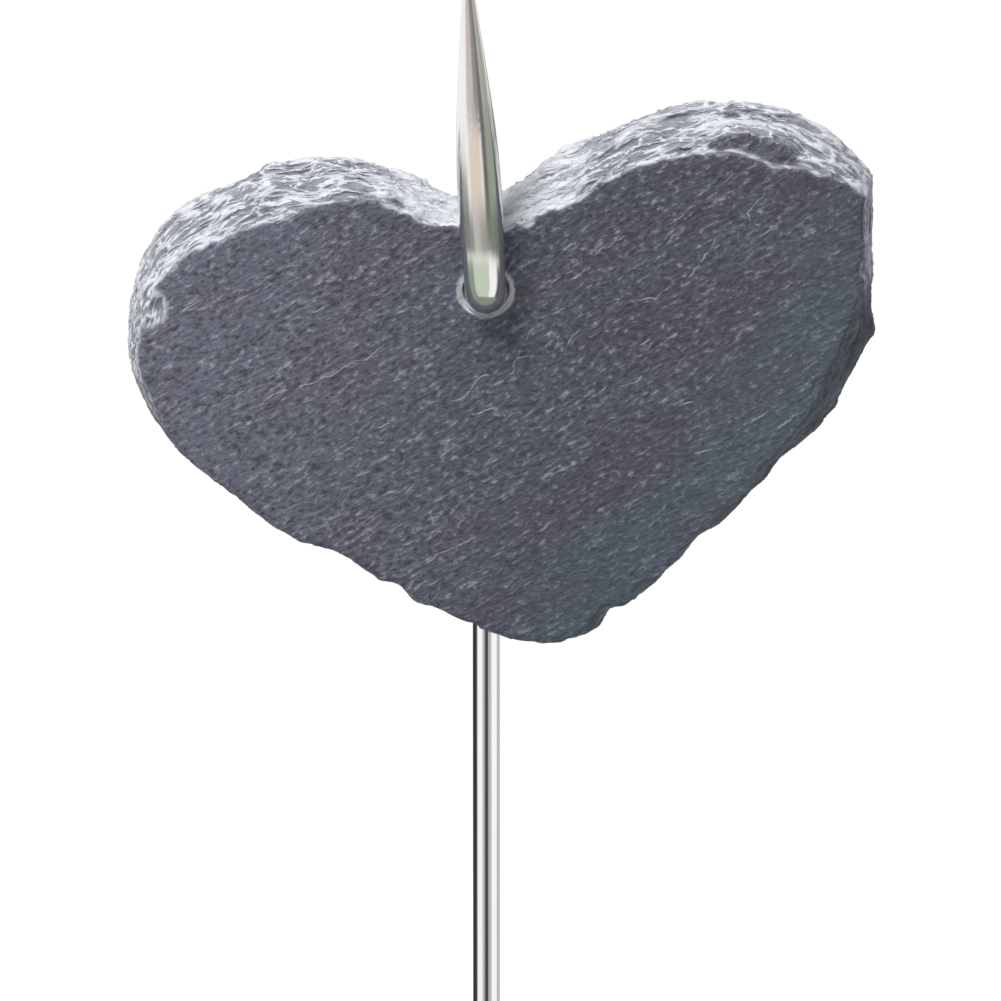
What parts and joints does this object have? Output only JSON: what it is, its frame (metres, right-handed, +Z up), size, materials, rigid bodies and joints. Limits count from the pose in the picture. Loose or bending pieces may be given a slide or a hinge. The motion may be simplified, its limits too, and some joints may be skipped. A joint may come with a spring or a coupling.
{
  "type": "plant label stake",
  "caption": "Garden label: a hewn slate heart hangs through its hole on a pronged steel hook, which is plugged on a thin pointed steel stake for soil.",
  "frame": {"origin": "on the stake's axis at soil level", "axes": "+Z up along the stake, -Y towards the front face of the heart, +X to the right as seen from the front"},
  "size_m": [0.0814, 0.0177, 0.2985],
  "materials": {
    "polished_steel": "bright polished stainless steel",
    "satin_steel": "satin polished stainless steel",
    "slate": "cleft dark grey slate with a fresh, paler hewn edge"
  },
  "bodies": {
    "stake": {"stake_rod": "polished_steel"},
    "hook": {"hook": "satin_steel"},
    "heart": {"slate_heart": "slate"}
  },
  "joints": [
    {"name": "hook_turn", "type": "hinge", "parent": "stake", "child": "hook", "pos_m": [0, 0, 0.144], "axis": [0, 0, 1], "continuous": true},
    {"name": "heart_swing", "type": "hinge", "parent": "hook", "child": "heart", "pos_m": [0, -0.00655, 0.16975], "axis": [0, 1, 0], "continuous": true}
  ]
}
